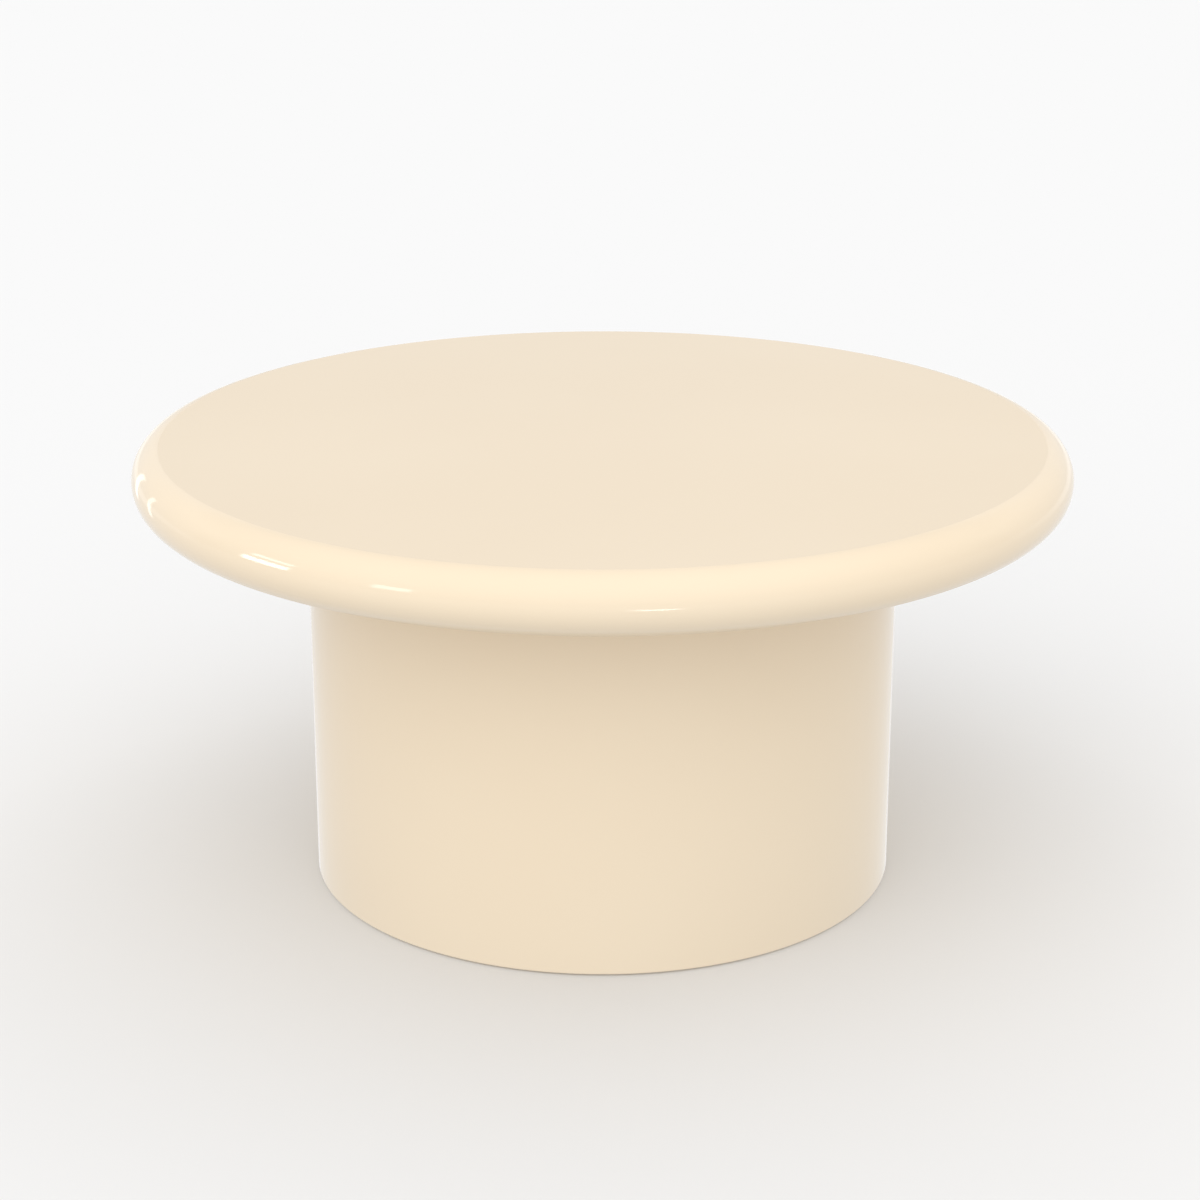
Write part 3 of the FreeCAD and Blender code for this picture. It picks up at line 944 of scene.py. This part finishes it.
class TABLE_OT_feet(bpy.types.Operator):
    """Makes the levelling feet: fluted pads and threaded stems"""

    bl_idname = "table.feet"
    bl_label = "Feet"

    def execute(self, context):
        settings, fixings = context.scene.table_feet, context.scene.table_fixings
        nylon = speckled(
            "moulded_nylon", settings.nylon, depth=0.18, scale=300.0, roughness=(0.38, 0.55), relief=0.03 * MM
        )
        zinc = zinc_plate(fixings)
        for i in range(FOOT_COUNT):
            pad_node, stem_node = f"leveller_pad_{i + 1}", f"leveller_stem_{i + 1}"
            low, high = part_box(pad_node)
            axis = (low.x + high.x) / 2, (low.y + high.y) / 2
            turn = math.atan2(axis[1], axis[0])
            pad = new_object(f"foot_pad_{i + 1}", self.pad(settings, low, high, axis))
            rod = self.stem(settings, fixings, stem_node, high.z, axis, turn)
            stem = new_object(f"foot_stem_{i + 1}", rod)
            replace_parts(finish_piece(pad, nylon, pad_node), pad_node)
            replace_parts(finish_piece(stem, zinc, stem_node), stem_node)
        return {"FINISHED"}

    def pad(self, settings, low, high, axis):
        """A dished foot with a fluted rim, hollow for the stem's button."""
        spot = settings.steps, axis
        foot, ease = (high.x - low.x) / 2, settings.foot_round
        bevel, lip = ease / 2, ease / 4
        shoulder, neck, socket = settings.shoulder / 2, settings.neck / 2, settings.socket / 2
        floor_z = low.z + settings.socket_floor
        roof_z = floor_z + settings.socket_height
        rim_z = low.z + settings.rim_height
        fluted = lambda angle: foot - settings.flute_depth * (1 - math.cos(settings.flutes * angle)) / 2
        rows = [[(*axis, low.z)]]
        rows += rings(arc(foot - ease, low.z + ease, ease, -math.pi / 2, -math.pi / 8, PAD_STEPS), *spot)
        rows += rings([(fluted, low.z + ease), (fluted, rim_z - bevel), (foot - lip, rim_z)], *spot)
        rows += rings([(foot - ease, rim_z + ease / 3), (shoulder + bevel, high.z - bevel / 3)], *spot)
        rows += rings([(shoulder - bevel, high.z), (neck + lip, high.z), (neck, high.z - lip)], *spot)
        rows += rings([(neck, roof_z), (socket, roof_z), (socket, floor_z)], *spot)
        rows.append([(*axis, floor_z)])
        bm = bmesh.new()
        skin(bm, rows)
        return bm

    def stem(self, settings, fixings, node, pad_top, axis, turn):
        """A button, a plain neck, a hex collar and a threaded rod, in one."""
        low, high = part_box(node)
        spot = fixings.steps, axis, turn
        edge, groove, rod = fixings.edge, fixings.bolt_groove, fixings.bolt_diameter / 2
        button, button_top = settings.button / 2, low.z + settings.button_height
        flats = settings.collar
        collar_low = pad_top + settings.collar_gap
        collar_high = collar_low + settings.collar_height
        disc = CHAMFER_SHARE * flats / 2
        rows = [[(*axis, low.z)]]
        rows += rings([(button - edge, low.z), (button, low.z + edge)], *spot)
        rows += rings([(button, button_top - edge), (button - edge, button_top)], *spot)
        rows += rings([(rod, button_top), (rod, collar_low), (disc, collar_low)], *spot)
        rows.append(ring(hexagon(flats), chamfered(flats, collar_low, CHAMFER_SLOPE), *spot))
        rows.append(ring(hexagon(flats), chamfered(flats, collar_high, -CHAMFER_SLOPE), *spot))
        rows.append(ring(disc, collar_high, *spot))
        rows += thread(rod, groove, fixings.bolt_pitch, collar_high, high.z - 2 * groove, *spot)
        rows += [ring(rod - groove, high.z, *spot), [(*axis, high.z)]]
        bm = bmesh.new()
        skin(bm, rows)
        return bm


class TABLE_OT_stage(bpy.types.Operator):
    """Sets the floor, the backdrop, the lights and the camera"""

    bl_idname = "table.stage"
    bl_label = "Stage"

    def execute(self, context):
        settings = context.scene.table_stage
        self.floor(settings)
        self.sky(context, settings)
        self.lights()
        self.camera(context, settings)
        context.scene.view_settings.view_transform = "Standard"
        return {"FINISHED"}

    def floor(self, settings):
        """A wide plane that shows the table's shadow, deepened by a painted shadow round the table's front
        foot, and glows back at the table with plain painted bounce light.
        """
        half = settings.floor_size / 2
        bm = bmesh.new()
        corners = [(-half, -half), (half, -half), (half, half), (-half, half)]
        bm.faces.new([bm.verts.new((x, y, 0.0)) for x, y in corners])
        floor = new_object("floor", bm)
        material = bpy.data.materials.new("pale_floor")
        material.use_nodes = True
        tree = material.node_tree
        tree.nodes.clear()
        path = tree.nodes.new("ShaderNodeLightPath").outputs
        shade = tree.nodes.new("ShaderNodeBsdfDiffuse")
        # Painted shadow: the floor's colour is darker round a place in front of the drum
        fade = self.away(tree, settings.painted_shadow_place, 0.0, settings.painted_shadow_reach)
        seen = self.blended(tree, fade, settings.painted_shadow_colour, settings.floor_colour)
        tree.links.new(seen, shade.inputs["Color"])
        # Painted bounce light: to rays other than the camera's the floor glows, dimmer beside the drum as
        # painted shade; glossy rays see the plain backdrop
        bounce = tree.nodes.new("ShaderNodeEmission")
        fade = self.away(tree, (0.0, 0.0, 0.0), DRUM_RADIUS, settings.bounce_reach)
        thrown = self.blended(tree, fade, settings.near_bounce, settings.floor_bounce)
        thrown = self.blended(tree, path["Is Glossy Ray"], thrown, settings.backdrop)
        tree.links.new(thrown, bounce.inputs["Color"])
        self.output(tree, "ShaderNodeOutputMaterial", path["Is Camera Ray"], bounce, shade)
        material.cycles.emission_sampling = "NONE"
        floor.data.materials.append(material)

    def away(self, tree, place, start, end):
        """From 0 to 1 with the distance from a place on the floor."""
        distance = tree.nodes.new("ShaderNodeVectorMath")
        distance.operation = "DISTANCE"
        distance.inputs[1].default_value = place
        tree.links.new(tree.nodes.new("ShaderNodeTexCoord").outputs["Object"], distance.inputs[0])
        return mapped(tree, distance.outputs["Value"], From_Min=start, From_Max=end)

    def blended(self, tree, share, first, second):
        """A colour between two others, which are colours or sockets."""
        mix = tree.nodes.new("ShaderNodeMix")
        mix.data_type = "RGBA"
        tree.links.new(share, mix.inputs["Factor"])
        for name, colour in (("A", first), ("B", second)):
            if isinstance(colour, bpy.types.NodeSocket):
                tree.links.new(colour, mix.inputs[name])
            else:
                mix.inputs[name].default_value = (*colour, 1.0)
        return mix.outputs["Result"]

    def output(self, tree, kind, share, first, second):
        """Ends a node tree in a mix of two shaders."""
        mix = tree.nodes.new("ShaderNodeMixShader")
        tree.links.new(share, mix.inputs["Fac"])
        tree.links.new(first.outputs[0], mix.inputs[1])
        tree.links.new(second.outputs[0], mix.inputs[2])
        tree.links.new(mix.outputs["Shader"], tree.nodes.new(kind).inputs["Surface"])

    def sky(self, context, settings):
        """Light from all round, one plain tone for the gloss to mirror and a pale backdrop to look at."""
        world = bpy.data.worlds.new("studio")
        context.scene.world = world
        world.use_nodes = True
        tree = world.node_tree
        tree.nodes.clear()
        path = tree.nodes.new("ShaderNodeLightPath").outputs
        tone = tree.nodes.new("ShaderNodeMix")
        tree.links.new(path["Is Glossy Ray"], tone.inputs["Factor"])
        tree.links.new(self.glow(tree, settings), tone.inputs["A"])
        tone.inputs["B"].default_value = settings.shine
        light = tree.nodes.new("ShaderNodeBackground")
        tree.links.new(tone.outputs["Result"], light.inputs["Strength"])
        backdrop = tree.nodes.new("ShaderNodeBackground")
        backdrop.inputs["Color"].default_value = (*settings.backdrop, 1.0)
        self.output(tree, "ShaderNodeOutputWorld", path["Is Camera Ray"], light, backdrop)

    def glow(self, tree, settings):
        """Sky strength by direction: even all round, and stronger towards each patch."""
        direction = tree.nodes.new("ShaderNodeTexCoord").outputs["Generated"]
        total = None
        for patch in GLOWS:
            towards = tree.nodes.new("ShaderNodeVectorMath")
            towards.operation = "DOT_PRODUCT"
            towards.inputs[1].default_value = heading(patch.azimuth, patch.elevation)
            tree.links.new(direction, towards.inputs[0])
            facing = maths(tree, "MAXIMUM", towards.outputs["Value"], 0.0)
            gathered = maths(tree, "POWER", facing, patch.gather)
            added = maths(tree, "MULTIPLY", gathered, patch.strength)
            total = maths(tree, "ADD", added, settings.sky if total is None else total)
        return total

    def lights(self):
        """Windows of light that only the round edge mirrors."""
        lit = bpy.data.collections.new("round_edge")
        lit.objects.link(bpy.data.objects[EDGE_FILM])
        for pane in PANES:
            light = bpy.data.lights.new(pane.name, "AREA")
            light.shape = "RECTANGLE"
            light.size = span(pane.distance, pane.width)
            light.size_y = span(pane.distance, pane.height)
            light.energy = pane.glow * math.pi * light.size * light.size_y
            self.soften(light, pane.softness)
            made = bpy.data.objects.new(pane.name, light)
            bpy.context.scene.collection.objects.link(made)
            shows_at = heading(pane.rim_azimuth, 0.0) * TOP_RADIUS
            shows_at.z = NOSE_CENTRE_Z
            away = heading(pane.azimuth, pane.elevation)
            made.location = shows_at + away * pane.distance
            made.rotation_euler = away.to_track_quat("Z", "Y").to_euler()
            made.visible_camera = made.visible_diffuse = False
            made.light_linking.receiver_collection = lit

    def soften(self, light, softness):
        """Fades a window's light towards its borders, which lie half a window from its middle."""
        half = 0.5
        light.use_nodes = True
        tree = light.node_tree
        place = tree.nodes.new("ShaderNodeSeparateXYZ")
        tree.links.new(tree.nodes.new("ShaderNodeTexCoord").outputs["UV"], place.inputs["Vector"])
        fades = []
        for axis in "XY":
            fade = tree.nodes.new("ShaderNodeMapRange")
            fade.interpolation_type = "SMOOTHSTEP"
            fade.inputs["From Min"].default_value = half
            fade.inputs["From Max"].default_value = half * (1 - softness)
            offset = maths(tree, "SUBTRACT", place.outputs[axis], half)
            tree.links.new(maths(tree, "ABSOLUTE", offset), fade.inputs["Value"])
            fades.append(fade.outputs["Result"])
        tree.links.new(maths(tree, "MULTIPLY", *fades), tree.nodes["Emission"].inputs["Strength"])

    def camera(self, context, settings):
        """A camera in front of the table that looks down at it."""
        data = bpy.data.cameras.new("camera")
        data.lens, data.sensor_width, data.clip_end = settings.lens, settings.sensor, settings.sight
        made = bpy.data.objects.new("camera", data)
        made.location = settings.camera_place
        made.rotation_euler = (math.pi / 2 - settings.camera_tilt, 0.0, 0.0)
        context.scene.collection.objects.link(made)
        context.scene.camera = made


class TABLE_PT_panel(bpy.types.Panel):
    """Lists the steps and their settings"""

    bl_idname = "TABLE_PT_panel"
    bl_label = "Round Cocktail Table"
    bl_space_type = "VIEW_3D"
    bl_region_type = "UI"
    bl_category = "Table"

    def draw(self, context):
        for operator in OPERATORS:
            self.layout.operator(operator.bl_idname)
        for group in GROUPS:
            box = self.layout.box()
            for name in GROUPS[group].__annotations__:
                box.prop(getattr(context.scene, group), name)


OPERATORS = (
    TABLE_OT_lacquer, TABLE_OT_core, TABLE_OT_carcass, TABLE_OT_fixings, TABLE_OT_feet, TABLE_OT_stage
)
GROUPS = {
    "table_lacquer": LacquerSettings,
    "table_carcass": CarcassSettings,
    "table_fixings": FixingSettings,
    "table_feet": FootSettings,
    "table_stage": StageSettings,
}


def register():
    for made in (*GROUPS.values(), *OPERATORS, TABLE_PT_panel):
        bpy.utils.register_class(made)
    for name, group in GROUPS.items():
        setattr(bpy.types.Scene, name, PointerProperty(type=group))


def unregister():
    for name in GROUPS:
        delattr(bpy.types.Scene, name)
    for made in reversed((*GROUPS.values(), *OPERATORS, TABLE_PT_panel)):
        bpy.utils.unregister_class(made)


def main():
    register()
    bpy.ops.table.lacquer()
    bpy.ops.table.core()
    bpy.ops.table.carcass()
    bpy.ops.table.fixings()
    bpy.ops.table.feet()
    bpy.ops.table.stage()


if __name__ == "__main__":
    main()
